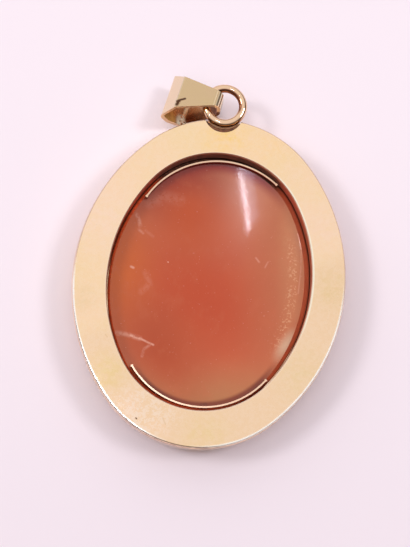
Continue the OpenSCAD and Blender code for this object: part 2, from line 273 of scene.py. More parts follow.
# Pits and faint marks in the plate, and the bail's dent: points and width
plate_pits = (
    ([(-6.22, -18.38), (-6.12, -18.45)], 0.26),
    ([(16.42, 5.03), (16.47, 5.1)], 0.28),
    ([(-9.1, -17.9), (-8.7, -17.95)], 0.26),
)
faint_marks = (
    ([(-3.0, -17.9), (-2.6, -18.5)], 0.3),
    ([(-11.6, -8.9), (-11.3, -9.2)], 0.22),
)
bail_dent = (
    ([(-7.70, 21.95), (-7.30, 22.20), (-6.75, 22.45)], 0.44),
    ([(-7.45, 22.05), (-7.66, 21.50)], 0.68),
)
# How many times as deep as a scratch the dent is
dent_depth = 60.0
# The painted shade inside the bail and a stain on the shell, each as points, width and softness
bail_shade_line = ([(-5.5, 21.2), (-3.8, 21.6)], 2.4, 0.6)
bail_shade_share = 0.8
shell_stain = ([(1.39, -15.3), (2.0, -15.1)], 0.55, 0.8)
# How far into the bail the painted shade of its hollow reaches, and the share of open sky between which it
# does
bail_hollow_reach = 4.5
hollow_levels = (0.30, 0.85)

# Scratches and specks on the shell's back, and one painted highlight: points, width, and how strongly they
# show
scratches_and_highlight = (
    ([(-10.3, -8.2), (-9.0, -8.15), (-7.4, -8.35)], 0.95, 0.50),
    ([(-8.6, -8.2), (-7.2, -8.4), (-5.6, -8.85)], 0.42, 0.80),
    ([(-6.0, -8.9), (-6.65, -9.6), (-6.75, -10.5)], 0.60, 0.35),
    ([(-10.35, 7.1), (-9.9, 6.4), (-9.7, 5.8)], 0.75, 0.45),
    ([(-9.8, 5.3), (-9.2, 4.95)], 0.60, 0.35),
    ([(-8.9, 5.3), (-7.9, 4.8)], 0.70, 0.16),
    ([(-9.0, 8.9), (-7.2, 10.1), (-5.3, 10.0)], 2.4, 0.14),
    ([(-5.50, 1.93), (-5.45, 1.88)], 0.26, 1.0),
    ([(-9.95, 0.45), (-9.65, 0.36)], 0.50, 0.8),
    ([(-8.0, 0.0), (-7.3, -1.3), (-8.2, -2.5)], 1.3, 0.16),
    ([(5.42, 4.28), (5.87, 3.82)], 0.40, 0.45),
    ([(6.7, 3.2), (7.0, 4.0)], 0.35, 0.30),
    # A painted highlight: a thin reflection near the right rim, drawn like a scratch.
    ([(10.18, 8.07), (10.58, 7.08), (10.83, 6.21)], 0.32, 0.85),
    ([(10.9, 6.0), (11.2, 3.5), (11.3, 0.5)], 0.30, 0.25),
)

# Soft zones of colour on the shell's back: middle, radius, squash in two directions, turn, colour
shell_zones = (
    ((-0.2, -2.0), 11.6, (0.20, 0.28), -0.34, (0.54, 0.052, 0.002, 1)),
    ((-12.5, -0.5), 7.6, (1.00, 0.50), 0.12, (0.66, 0.115, 0.003, 1)),
    ((12.5, 0.0), 9.2, (0.85, 0.05), 0.15, (0.50, 0.135, 0.050, 1)),
    ((9.5, 10.3), 7.9, (0.26, 2.70), -1.44, (0.58, 0.200, 0.080, 1)),
    ((4.3, -15.3), 8.2, (0.10, 1.09), 0.15, (0.47, 0.180, 0.063, 1)),
    ((-6.9, 12.6), 8.2, (0.60, 1.04), 0.15, (0.30, 0.010, 0.002, 1)),
    ((-4.6, -9.1), 5.1, (0.72, 0.46), 0.70, (0.47, 0.055, 0.004, 1)),
    ((-3.6, 8.4), 6.8, (0.93, 1.02), -0.49, (0.56, 0.069, 0.004, 1)),
    ((10.8, -6.2), 2.5, (1.7, 0.75), -0.45, (0.66, 0.42, 0.27, 1)),
)

# How soft the edges of the shell's zones, scratches and painted highlight are, from 0 to 1
zone_softness = 1.0
stroke_softness = 1.0
# Where, from left to right, the bevel turns darker, as its painted glow fades
bevel_turns_darker = (-6, 8)
# Levels of the cloudiness between which the shell turns redder
red_levels = (0.35, 0.65)
# Levels of the relief, as shares of the carving's height, at which the cream layer starts and turns opaque
cream_starts = (0.04, 0.20)
cream_turns_opaque = (0.2, 0.8)

# Distances in from the shell's outline between which its zones fade
edge_distances = {
    "rim": (0.9, 2.4),
    "foot": (0.90, 1.45),
    "band's outer side": (1.2, 1.7),
    "band's inner side": (2.3, 3.0),
    "bevel's edge": (0.02, 0.24),
}

# Stains on the plate: middle, radius, how strongly they show, colour
plate_stains = (
    ((-10.4, -13.3), 3.8, 1.0, (0.89, 0.66, 0.33, 1)),
    ((2.4, -19.2), 4.6, 0.9, (0.91, 0.67, 0.36, 1)),
    ((-0.8, 18.7), 4.6, 1.0, (1.0, 0.69, 0.27, 1)),
    ((4.6, 18.0), 4.2, 0.8, (1.0, 0.71, 0.38, 1)),
    ((-14.9, -4.9), 2.6, 0.7, (0.90, 0.66, 0.40, 1)),
    ((15.0, 1.3), 4.0, 1.0, (0.88, 0.64, 0.36, 1)),
    ((13.0, -10.0), 5.4, 0.8, (0.90, 0.67, 0.39, 1)),
    ((-7.2, -17.0), 2.8, 0.8, (1.0, 0.72, 0.52, 1)),
    ((-3.7, -19.4), 2.6, 0.6, (1.0, 0.71, 0.49, 1)),
    ((13.4, 8.5), 5.0, 0.8, (1.0, 0.72, 0.53, 1)),
    ((-14.4, 5.5), 7.0, 0.9, (1.0, 0.73, 0.54, 1)),
)
# How soft the edges of stains, small marks and the dent are, from 0 to 1
stain_softness = 0.95
mark_softness = 0.7
dent_softness = 0.8
# How strongly the painted shade on the outer wall at the foot shows, at its top and lower down
foot_shade_shares = (0.85, 0.15)
# How strongly the pale grain shows: all over the plate, and how much more where it is worn
grain_everywhere = 0.14
worn_grain = 0.50
# The direction, from the middle, in which the plate turns darker as painted shade, and the distances
# between which it does
darker_way = (0.45, -0.893, 0)
darker_from, darker_to = 0.5, 3.5

# The brown painted shade on the ring's inner side: the way to its far side, and the levels between which
# its masks fade
ring_far_way = (0.5, 0.866, 0)
ring_far_half = (-0.1, 0.5)
ring_inner_side = (-0.28, 0.02)

# Colours of the frame
frame_tints = {
    "gold": (1.0, 0.72, 0.49, 1),
    "gold, worn": (0.97, 0.72, 0.43, 1),
    "lower plate, shaded": (0.945, 0.68, 0.445, 1),
    "grain": (1.0, 0.82, 0.67, 1),
    "pit": (0.20, 0.09, 0.04, 1),
    "faint mark": (0.75, 0.50, 0.28, 1),
    "inner line": (1.0, 0.80, 0.60, 1),
    "wedge": (1.0, 0.93, 0.75, 1),
    "chamfer": (1.0, 0.86, 0.68, 1),
    "chamfer, ring's end": (0.95, 0.50, 0.34, 1),
    "bright line": (1.0, 0.96, 0.89, 1),
    "grey line": (0.52, 0.38, 0.29, 1),
    "foot_shade": (0.30, 0.15, 0.09, 1),
    "wall": (0.86, 0.46, 0.30, 1),
    "wall, left": (0.42, 0.14, 0.065, 1),
    "wall, ring's end": (1.0, 0.50, 0.38, 1),
    "wall's shadow": (0.16, 0.060, 0.035, 1),
    "notch shade": (0.11, 0.032, 0.014, 1),
    "notch shade, pale": (0.26, 0.095, 0.034, 1),
    "ring": (0.88, 0.61, 0.40, 1),
    "ring's flank": (0.48, 0.25, 0.13, 1),
    "ring's inner shade": (0.40, 0.17, 0.10, 1),
    "side shade": (0.60, 0.33, 0.17, 1),
}

# Colours of the strips and the bail
strip_tints = {
    "gold": (0.88, 0.62, 0.44, 1),
    "gold, worn": (0.80, 0.53, 0.36, 1),
    "side": (0.30, 0.085, 0.045, 1),
}
bail_tints = {
    "gold": (0.68, 0.505, 0.28, 1),
    "gold, worn": (0.69, 0.49, 0.30, 1),
    "broad end": (0.86, 0.70, 0.49, 1),
    "hollow": (0.46, 0.17, 0.078, 1),
    "left": (1.0, 0.62, 0.20, 1),
    "glint": (1.0, 0.96, 0.80, 1),
    "lit cut edge": (1.0, 0.80, 0.60, 1),
    "shade": (0.15, 0.050, 0.032, 1),
    "narrow end": (1.0, 0.84, 0.58, 1),
    "dent": (0.10, 0.040, 0.020, 1),
}

# Colours of the shell
shell_tints = {
    "ground": (0.95, 0.58, 0.30, 1),
    "cloud": (0.42, 0.040, 0.002, 1),
    "veil": (0.58, 0.125, 0.045, 1),
    "green cast": (0.12, 0.13, 0.08, 1),
    "rim": (0.30, 0.010, 0.001, 1),
    "foot": (0.18, 0.020, 0.003, 1),
    "scratch_and_highlight": (0.82, 0.40, 0.29, 1),
    "band": (0.80, 0.46, 0.26, 1),
    "speck": (0.72, 0.34, 0.25, 1),
    "stain": (0.14, 0.030, 0.010, 1),
    "bevel, left": (0.82, 0.120, 0.035, 1),
    "bevel, right": (0.38, 0.060, 0.018, 1),
    "bevel's edge": (0.12, 0.016, 0.004, 1),
    "bevel's spots": (0.25, 0.035, 0.012, 1),
    "bevel's streaks": (0.060, 0.026, 0.016, 1),
    "bevel's streaks, pale": (0.20, 0.080, 0.050, 1),
    "carved ground": (0.36, 0.10, 0.045, 1),
    "carved ground, pale": (0.44, 0.14, 0.06, 1),
    "cream, thin": (0.80, 0.52, 0.38, 1),
    "cream": (0.90, 0.82, 0.72, 1),
}
# How strong the green cast is
green_cast = 0.06
# The floor's colour near the camera and far from it, darker near as painted shade, and how far from the
# middle each is reached
paper_near = (0.90, 0.80, 0.87, 1)
paper_far = (0.965, 0.865, 0.94, 1)
paper_turn = 45

# The camera: aim, distance, and angles in degrees; the lens from its focal length in pixels
camera_aim = (-0.606, 1.503, 1.0)
camera_distance = 170
camera_azimuth = -8
camera_elevation = 78
camera_roll = 17.285
focal_pixels = 1337.7
long_side_pixels = 547
sensor_width = 36.0
# The nearest and the farthest that the camera sees, in metres
clip_near, clip_far = 0.005, 10

# The lamps, as azimuth, elevation, distance, width, energy and colour
lamps = {
    "left_lamp": (175, 48, 800, 220, 1.60, (1.0, 0.985, 0.99)),
    "right_lamp": (20, 54, 800, 240, 1.44, (1.0, 0.985, 1.0)),
    "small_lamp": (155, 75, 1200, 14, 0.03, (1.0, 0.96, 0.97)),
}
lamp_aim = (0, 0, 3)

# The lamps whose mirror image is the streak on the shell, as place, width, length, energy and colour
streaks = {
    "streak": ((-84, 140, 2395), 10, 264, 0.75, (0.93, 0.90, 1.0)),
    "streak_glow": ((-106, 126, 2400), 90, 250, 0.44, (0.64, 0.76, 1.0)),
}
streak_turn = 32

# The sky: its strength, the way that its bright cap leans, and its colours from the dark side up
sky_strength = 0.95
sky_lean = (-0.30, 0.42, 0.86)
sky_stops = (
    (0.10, (0.14, 0.115, 0.105, 1)),
    (0.30, (0.18, 0.15, 0.138, 1)),
    (0.52, (0.55, 0.51, 0.51, 1)),
    (0.64, (0.90, 0.875, 0.88, 1)),
    (0.95, (1.0, 0.975, 0.98, 1)),
)

# Half the side of the square floor, in metres
floor_half = 1.2


def make_camera():
    """A camera above the back plate, turned a little about its own axis, as the photograph is taken."""
    azimuth, elevation = math.radians(camera_azimuth), math.radians(camera_elevation)
    roll = math.radians(camera_roll)
    back = Vector((math.sin(azimuth) * math.cos(elevation),
                   -math.cos(azimuth) * math.cos(elevation), math.sin(elevation)))
    right = Vector((0, 0, 1)).cross(back).normalized()
    up = back.cross(right)
    right_rolled = math.cos(roll) * right + math.sin(roll) * up
    up_rolled = math.cos(roll) * up - math.sin(roll) * right
    data = bpy.data.cameras.new("camera")
    data.sensor_width = sensor_width
    data.lens = focal_pixels / long_side_pixels * sensor_width
    data.clip_start, data.clip_end = clip_near, clip_far
    camera = bpy.data.objects.new("camera", data)
    bpy.context.collection.objects.link(camera)
    turn = Matrix((right_rolled, up_rolled, back)).transposed().to_4x4()
    place = Vector(camera_aim) * MM + back * (camera_distance * MM)
    camera.matrix_world = Matrix.Translation(place) @ turn
    bpy.context.scene.camera = camera


def arcs(oval):
    """The radii of an oval's end and side arcs, and how far their middles lie from its centre."""
    width, length, shoulder = oval[0], oval[1], math.radians(oval[2])
    spread = (length - width) / (math.sin(shoulder) + math.cos(shoulder) - 1)
    return (width - spread * (1 - math.cos(shoulder)), width + spread * math.cos(shoulder),
            spread * math.sin(shoulder), spread * math.cos(shoulder))


class Shader:
    """Builds a material's nodes. Its tint is what the layers of colour laid so far give."""

    def __init__(self, name, tint, **settings):
        self.material = bpy.data.materials.new(name)
        self.material.use_nodes = True
        self.tree = self.material.node_tree
        self.surface = self.tree.nodes["Principled BSDF"]
        self.tint = tint
        self.set(self.surface, settings)

    def set(self, node, settings):
        """Sets sockets, each named or given as _ and its number, to values or to other sockets."""
        for key, value in settings.items():
            socket = node.inputs[int(key[1:])] if key[0] == "_" else node.inputs[key.replace("_", " ")]
            if isinstance(value, bpy.types.NodeSocket):
                self.tree.links.new(value, socket)
            else:
                socket.default_value = value

    def add(self, kind, props=None, **settings):
        """A new node with its properties and sockets set."""
        node = self.tree.nodes.new("ShaderNode" + kind)
        for key, value in (props or {}).items():
            setattr(node, key, value)
        self.set(node, settings)
        return node

    def vector(self, operation, **settings):
        """The vector or the number that comes out of a step of vector arithmetic."""
        node = self.add("VectorMath", {"operation": operation}, **settings)
        return node.outputs["Value" if operation in ("DOT_PRODUCT", "DISTANCE", "LENGTH") else "Vector"]

    def math(self, operation, a, b):
        return self.add("Math", {"operation": operation}, _0=a, _1=b).outputs[0]

    def fold(self, operation, values):
        """One operation over all the values, from left to right."""
        result = values[0]
        for value in values[1:]:
            result = self.math(operation, result, value)
        return result

    def times(self, *values):
        return self.fold("MULTIPLY", values)

    def plus(self, *values):
        return self.fold("ADD", values)

    def most(self, *values):
        return self.fold("MAXIMUM", values)

    def minus(self, a, b):
        return self.math("SUBTRACT", a, b)

    def mix(self, share, a, b):
        return self.add("Mix", {"data_type": "RGBA"}, _0=share, _6=a, _7=b).outputs[2]

    def paint(self, mask, colour, share=None):
        """Lays a colour over the tint, fully or by that share where the mask is 1."""
        if share is not None:
            mask = self.times(mask, share)
        self.tint = self.mix(mask, self.tint, colour)

    def ramp(self, value, low, high, to_low, to_high):
        """A smooth step between two levels of a value."""
        node = self.add("MapRange", {"interpolation_type": "SMOOTHSTEP"}, _0=value, _1=low, _2=high,
                        _3=to_low, _4=to_high)
        return node.outputs[0]

    def rise(self, value, low, high, most=1.0):
        """0 up to the low level, most from the high level on."""
        return self.ramp(value, low, high, 0.0, most)

    def fall(self, value, low, high, most=1.0):
        """Most up to the low level, 0 from the high level on."""
        return self.ramp(value, low, high, most, 0.0)

    def place(self, size=(1, 1, 1), turn=0.0):
        """Object coordinates in millimetres, scaled and turned about Z."""
        mapped = self.add("Mapping", Vector=self.add("TexCoord").outputs["Object"])
        mapped.inputs["Scale"].default_value = [scale / MM for scale in size]
        mapped.inputs["Rotation"].default_value = (0, 0, turn)
        return mapped.outputs[0]

    def along(self, axis):
        """The place along X, Y or Z in millimetres."""
        return self.add("SeparateXYZ", _0=self.place()).outputs[axis]

    def noise(self, size, detail, rough, stretch=(1, 1, 1), turn=0.0):
        """Noise whose features are about size millimetres wide."""
        at = self.place([share / size for share in stretch], turn)
        return self.add("TexNoise", Vector=at, Scale=1.0, Detail=detail, Roughness=rough).outputs[0]

    def pattern(self, name, least=0.0, most=1.0, **layout):
        """A named pattern of noise as a mask."""
        size, detail, rough, low, high = patterns[name]
        return self.ramp(self.noise(size, detail, rough, **layout), low, high, least, most)

    def patch(self, centre, radius, soft, squash=(1, 1), turn=0.0):
        """1 inside a round patch of the XY plane, falling to 0 outside; sizes in millimetres."""
        where = self.add("TexCoord").outputs["Object"]
        off = self.vector("SUBTRACT", _0=where, _1=(centre[0] * MM, centre[1] * MM, 0))
        mapped = self.add("Mapping", {"vector_type": "POINT"}, Vector=off)
        mapped.inputs["Rotation"].default_value = (0, 0, -turn)
        flat = self.vector("MULTIPLY", _0=mapped.outputs[0], _1=(squash[0] / MM, squash[1] / MM, 0))
        return self.fall(self.vector("LENGTH", _0=flat), radius * (1 - soft), radius)

    def stroke(self, points, width, soft):
        """1 along a line of points in the XY plane and 0 beside it; sizes in millimetres."""
        where = self.add("TexCoord").outputs["Object"]
        flat = self.vector("MULTIPLY", _0=where, _1=(1 / MM, 1 / MM, 0))
        parts = []
        for (ax, ay), (bx, by) in zip(points, points[1:]):
            step = Vector((bx - ax, by - ay, 0))
            off = self.vector("SUBTRACT", _0=flat, _1=(ax, ay, 0))
            share = self.vector("DOT_PRODUCT", _0=off, _1=step / step.length_squared)
            share = self.add("Clamp", None, Value=share).outputs[0]
            near = self.vector("SCALE", _0=step, Scale=share)
            away = self.vector("DISTANCE", _0=off, _1=near)
            parts.append(self.fall(away, width * (1 - soft) / 2, width / 2))
        return self.most(*parts)

    def strokes(self, lines, soft):
        """1 along any of several lines, each given as points and width."""
        return self.most(*(self.stroke(points, width, soft) for points, width in lines))

    def hollow(self, reach_mm):
        """1 deep inside the piece's own hollows, 0 where it is open."""
        ambient = self.add("AmbientOcclusion", {"samples": 6, "only_local": True},
                           Distance=reach_mm * MM).outputs["AO"]
        return self.fall(ambient, *hollow_levels)

    def beyond(self, oval):
        """Distance in millimetres outside an oval's outline, negative inside it."""
        end_r, side_r, up, back = arcs(oval)
        shoulder = math.radians(oval[2])
        flat = self.vector("MULTIPLY", _0=self.vector("ABSOLUTE", _0=self.place()), _1=(1, 1, 0))
        end = self.vector("DISTANCE", _0=flat, _1=(0, up, 0))
        side = self.vector("DISTANCE", _0=flat, _1=(-back, 0, 0))
        lean = self.vector("DOT_PRODUCT", _0=flat, _1=(-math.sin(shoulder), math.cos(shoulder), 0))
        at_end = self.math("GREATER_THAN", lean, up * math.cos(shoulder))
        return self.add("Mix", {"data_type": "FLOAT"}, _0=at_end, _2=self.minus(side, side_r),
                        _3=self.minus(end, end_r)).outputs[0]

    def toward(self, name):
        """1 in the middle of a named sector, falling to 0 at its sides."""
        turn, spread = (math.radians(angle) for angle in sectors[name])
        flat = self.vector("MULTIPLY", _0=self.place(), _1=(1, 1, 0))
        unit = self.vector("NORMALIZE", _0=flat)
        near = self.vector("DOT_PRODUCT", _0=unit, _1=(math.cos(turn), math.sin(turn), 0))
        return self.rise(near, math.cos(spread), math.cos(spread * sector_core))

    def facing(self, name):
        """1 where the surface faces a named way, 0 where it is turned from it."""
        direction, low, high = facings[name]
        normal = self.add("TexCoord").outputs["Normal"]
        squarely = self.vector("DOT_PRODUCT", _0=normal, _1=Vector(direction).normalized())
        return self.rise(squarely, low, high)

    def stored(self, name):
        """A value that the mesh keeps at its points."""
        return self.add("Attribute", {"attribute_name": name}).outputs["Fac"]

    def bump(self, height, depth_mm):
        """A surface direction that leans with the slopes of a height."""
        return self.add("Bump", None, Height=height, Distance=depth_mm * MM).outputs[0]

    def finish(self, **settings):
        """Links the tint to the surface, sets the rest of it and gives the material."""
        self.set(self.surface, {"Base Color": self.tint, **settings})
        return self.material


class Gold(Shader):
    """Polished gold with fine scratches, faint cloudy wear and a colour that wanders a little."""

    def __init__(self, piece, tints):
        super().__init__(piece + "_gold", tints["gold"], Metallic=1.0)
        self.depth = relief_depths[piece]
        rough = gold_roughness[piece]
        cloud = self.noise(*noises["cloud"])
        fine = self.noise(*noises["fine"])
        lines = self.noise(*noises["lines"])
        cross_lines = self.noise(*noises["cross lines"])
        self.paint(self.rise(cloud, *cloud_levels), tints["gold, worn"])
        grain = self.plus(self.times(fine, fine_in_roughness), self.times(cloud, 1 - fine_in_roughness))
        self.roughness = self.ramp(grain, *cloud_levels, rough * (1 - gold_roughness_wander),
                                   rough * (1 + gold_roughness_wander))
        marks = self.plus(self.rise(lines, *line_levels), self.rise(cross_lines, *cross_line_levels))
        self.relief = self.plus(marks, self.times(fine, fine_in_relief))

    def roughen(self, mask, by):
        """Adds to the roughness where the mask is 1."""
        self.roughness = self.plus(self.roughness, self.times(mask, by))

    def dull(self, *layers):
        """Takes away some of the metal's shine, for masks that each come with a share."""
        lost = self.most(*(self.times(mask, share) for mask, share in layers))
        self.set(self.surface, {"Metallic": self.minus(1.0, lost)})

    def finish(self, **settings):
        relief = self.bump(self.relief, self.depth)
        return super().finish(Roughness=self.roughness, Normal=relief, **settings)


def stain_and_shade_plate(s, depth):
    """The plate's colours: darker to the lower right as painted shade, with stains, a worn grain, pits and
    faint marks.
    """
    # Painted shade: the plate turns darker towards the lower right.
    down = s.vector("DOT_PRODUCT", _0=s.place(), _1=darker_way)
    s.paint(s.rise(down, darker_from, darker_to), frame_tints["lower plate, shaded"])
    cloud = s.pattern("stain", least=0.4)
    for middle, radius, share, colour in plate_stains:
        s.paint(s.times(s.patch(middle, radius, stain_softness), cloud), colour, share=share)
    worn = s.patch(*patches["worn plate"])
    grain_share = s.plus(s.times(worn, worn_grain), grain_everywhere)
    s.paint(s.pattern("grain"), frame_tints["grain"], share=grain_share)
    pits = s.times(s.strokes(plate_pits, mark_softness), s.fall(depth, *depths["pits"], most=0.9))
    s.paint(pits, frame_tints["pit"])
    s.paint(s.strokes(faint_marks, mark_softness), frame_tints["faint mark"], share=0.35)


def highlight_opening(s, on_top, from_opening):
    """The opening's edge, in painted highlights: a pale line, a brighter wedge to the right, and the
    chamfer, redder at the ring's end.
    """
    # Painted highlight: a pale line along the opening, brightest in a wedge to the right.
    inner_line = s.times(s.fall(from_opening, *opening_distances["inner line"]), on_top)
    s.paint(inner_line, frame_tints["inner line"], share=0.7)
    wedge = s.times(s.fall(from_opening, *opening_distances["wedge"]), s.toward("wedge"), on_top)
    s.paint(wedge, frame_tints["wedge"])
    # Painted highlight on the chamfer, turning redder towards the ring's end.
    chamfer = s.times(s.minus(1.0, s.facing("flat")), on_top,
                      s.fall(from_opening, *opening_distances["chamfer"]))
    s.paint(chamfer, s.mix(s.toward("ring's end"), frame_tints["chamfer"],
                           frame_tints["chamfer, ring's end"]))
    s.roughen(chamfer, by=0.42)


def light_and_shade_rim(s, depth, from_rim):
    """The plate's outer edge: painted highlights, and a grey line and a dark foot of painted shade. Gives
    its matt mask.
    """
    outer_line = s.times(s.rise(from_rim, *rim_distances["outer line"]),
                         s.fall(depth, *depths["outer line"]))
    # Painted highlight on the outer edge at the lower left and the lower right.
    bright = s.times(outer_line, s.most(s.toward("lower left"), s.toward("lower right")),
                     s.pattern("broken line"))
    s.paint(bright, frame_tints["bright line"])
    s.roughen(bright, by=0.07)
    # Painted shade: a grey line on the outer edge at the upper right and the upper left.
    grey = s.times(s.rise(from_rim, *rim_distances["grey line"]), s.fall(depth, *depths["grey line"]),
                   s.most(s.toward("upper right"), s.toward("upper left")))
    s.paint(grey, frame_tints["grey line"], share=0.6)
    # Painted shade on the outer wall at the foot, broken by noise.
    foot_shaded = s.times(s.rise(from_rim, *rim_distances["foot_shade"]), s.toward("foot"),
                      s.pattern("foot_shade", stretch=(0.4, 1, 2)),
                      s.ramp(depth, *depths["foot_shade"], *foot_shade_shares))
    s.paint(foot_shaded, frame_tints["foot_shade"])
    return s.times(bright, s.toward("lower right"))


def shade_wall(s, depth, from_opening):
    """The wall that lines the opening, as painted shade and reflection: redder and darker to the left and
    at its foot.
    """
    on_wall = s.times(s.fall(from_opening, *opening_distances["wall"]),
                      s.times(s.rise(depth, *depths["wall's top"]), s.fall(depth, *depths["wall's foot"])))
    # Painted reflection of the red shell on the wall, darker to the left and brighter at the ring's end.
    wall = s.mix(s.toward("wall's left"), frame_tints["wall"], frame_tints["wall, left"])
    wall = s.mix(s.toward("wall's ring end"), wall, frame_tints["wall, ring's end"])
    shadow = s.rise(depth, *depths["wall's shadow"], most=0.75)
    wall = s.mix(shadow, wall, frame_tints["wall's shadow"])
    s.paint(on_wall, wall)
    s.roughen(on_wall, by=0.40)


def shade_notch(s, depth):
    """The brown painted shade in the notch. Gives its mask."""
    in_notch = s.times(s.patch(*patches["notch"]), s.rise(depth, *depths["notch's top"]),
                       s.fall(depth, *depths["notch's floor"]))
    # Painted shade in the notch, broken by noise.
    s.paint(in_notch, s.mix(s.pattern("notch shade"), frame_tints["notch shade"], frame_tints["notch shade, pale"]))
    return in_notch


def tint_ring(s, depth, from_rim):
    """The ring in painted shade: darker on the flank towards the frame, brown on the inner side of its far
    half.
    """
    on_ring = s.times(s.patch(*patches["ring"]), s.fall(depth, *depths["ring"]),
                      s.rise(from_rim, *rim_distances["ring"]))
    # Painted shade on the flank and on the inner side of the far half.
    ring = s.mix(s.facing("ring's flank"), frame_tints["ring"], frame_tints["ring's flank"])
    away = s.vector("NORMALIZE", _0=s.vector("SUBTRACT", _0=s.place(), _1=ring_middle))
    outward = s.vector("DOT_PRODUCT", _0=away, _1=s.add("TexCoord").outputs["Normal"])
    far = s.vector("DOT_PRODUCT", _0=away, _1=ring_far_way)
    inner_shade = s.times(s.fall(outward, *ring_inner_side), s.rise(far, *ring_far_half))
    s.paint(on_ring, s.mix(inner_shade, ring, frame_tints["ring's inner shade"]))


def frame_gold():
    """The frame's gold, from its stained plate to the painted shade in its notch."""
    s = Gold("frame", frame_tints)
    depth = s.minus(plate_face, s.along("Z"))
    on_top = s.fall(depth, *depths["top"])
    from_opening = s.beyond(opening_oval)
    from_rim = s.beyond(frame_oval)
    stain_and_shade_plate(s, depth)
    highlight_opening(s, on_top, from_opening)
    matt_highlight = light_and_shade_rim(s, depth, from_rim)
    shade_wall(s, depth, from_opening)
    in_notch = shade_notch(s, depth)
    tint_ring(s, depth, from_rim)
    # Painted shade on the frame's sides, deeper lower down, broken by noise.
    side_shade = s.times(s.rise(depth, *depths["side shade"], most=0.25), s.pattern("side shade"))
    s.paint(side_shade, frame_tints["side shade"])
    # The painted shade in the notch and the painted highlight at the lower right are made less metallic.
    s.dull((in_notch, 0.7), (matt_highlight, 0.75))
    return s.finish()


def strip_gold():
    """The strips: bright on their edge, dark on their sides, which lie in painted shadow."""
    s = Gold("strip", strip_tints)
    # Painted shadow on the strips' sides.
    s.paint(s.fall(s.along("Z"), *strip_heights), strip_tints["side"])
    return s.finish()


def bail_gold():
    """The bail: greenish gold outside, painted highlights on its ends, pinkish ones on its cut edges, brown
    painted shade inside, a dark dent.
    """
    s = Gold("bail", bail_tints)
    height = s.along("Z")
    on_face = s.rise(height, *bail_heights["face"])
    # Painted highlight on the broad end.
    s.paint(s.facing("bail's broad end"), bail_tints["broad end"])
    # Painted shade in the hollow, with painted light on its left.
    hollow = s.hollow(bail_hollow_reach)
    s.paint(hollow, bail_tints["hollow"])
    inside = s.times(s.fall(height, *bail_heights["inside"]), s.facing("up"))
    left = s.times(s.patch(*patches["bail's left"]), inside)
    s.paint(left, bail_tints["left"])
    glint = s.times(s.patch(*patches["bail's glint"]), inside, s.pattern("glint"))
    s.paint(glint, bail_tints["glint"])
    s.roughen(hollow, by=0.20)
    # Painted highlight on the cut edges, which face the near side.
    cut = s.facing("bail's lit cut edge")
    s.paint(cut, bail_tints["lit cut edge"])
    s.roughen(cut, by=0.35)
    # Painted shade near the narrow end, below the face.
    shade = s.most(s.times(s.stroke(*bail_shade_line), bail_shade_share), s.patch(*patches["bail's shade"]))
    s.paint(s.times(shade, s.fall(height, *bail_heights["shade"], most=0.9)), bail_tints["shade"])
    # Painted highlight on the narrow end.
    s.paint(s.times(s.facing("bail's narrow end"), on_face), bail_tints["narrow end"])
    dent = s.times(s.strokes(bail_dent, dent_softness), s.pattern("dent"), on_face)
    s.paint(dent, bail_tints["dent"])
    s.relief = s.minus(s.relief, s.times(dent, dent_depth))
    # The painted glint and the painted light inside are made less metallic.
    s.dull((glint, 0.85), (left, 0.45))
    return s.finish()


def shell_material():
    """The shell's back: polished, red in the middle, paler to the right and bottom, a little scratched;
    painted shade at its rim.
    """
    s = Shader("shell_back", shell_tints["ground"], Specular_IOR_Level=0.3, Coat_Weight=0.5,
               Coat_Roughness=0.05)
    for middle, radius, squash, turn, colour in shell_zones:
        s.paint(s.patch(middle, radius, zone_softness, squash, turn), colour)
    cloud = s.noise(*noises["shell's cloud"])
    s.paint(s.rise(cloud, *red_levels), shell_tints["cloud"], share=0.12)
    s.paint(s.pattern("veil", stretch=(1, 0.7, 1), turn=0.4), shell_tints["veil"], share=0.22)
    s.tint = s.mix(green_cast, s.tint, shell_tints["green cast"])
    edge = s.stored("edge")
    # Painted shade along the rim at the top, under the plate's edge.
    rim = s.times(s.fall(edge, *edge_distances["rim"]), s.patch(*patches["shell's rim"]))
    s.paint(rim, shell_tints["rim"])
    # Painted shade along the rim at the foot.
    foot = s.times(s.fall(edge, *edge_distances["foot"]), s.toward("shell's foot"))
    s.paint(foot, shell_tints["foot"], share=0.9)
    torn = s.pattern("torn", least=0.25)
    # Scratches and specks, and one painted highlight near the right rim.
    for points, width, share in scratches_and_highlight:
        scratch_and_highlight = s.times(s.stroke(points, width, stroke_softness), torn)
        s.paint(scratch_and_highlight, shell_tints["scratch_and_highlight"], share=share)
    # A pale speckled band along the right rim.
    band = s.times(s.rise(edge, *edge_distances["band's outer side"]),
                   s.fall(edge, *edge_distances["band's inner side"]),
                   s.toward("shell's right"), s.pattern("band"))
    s.paint(band, shell_tints["band"], share=0.40)
    s.paint(s.pattern("specks"), shell_tints["speck"], share=0.4)
    s.paint(s.times(s.stroke(*shell_stain), torn), shell_tints["stain"], share=0.7)
    normal = s.bump(s.noise(*noises["shell's relief"]), relief_depths["shell"])
    roughness = s.ramp(cloud, *cloud_levels, *shell_roughness)
    return s.finish(Roughness=roughness, Normal=normal, Coat_Normal=normal)


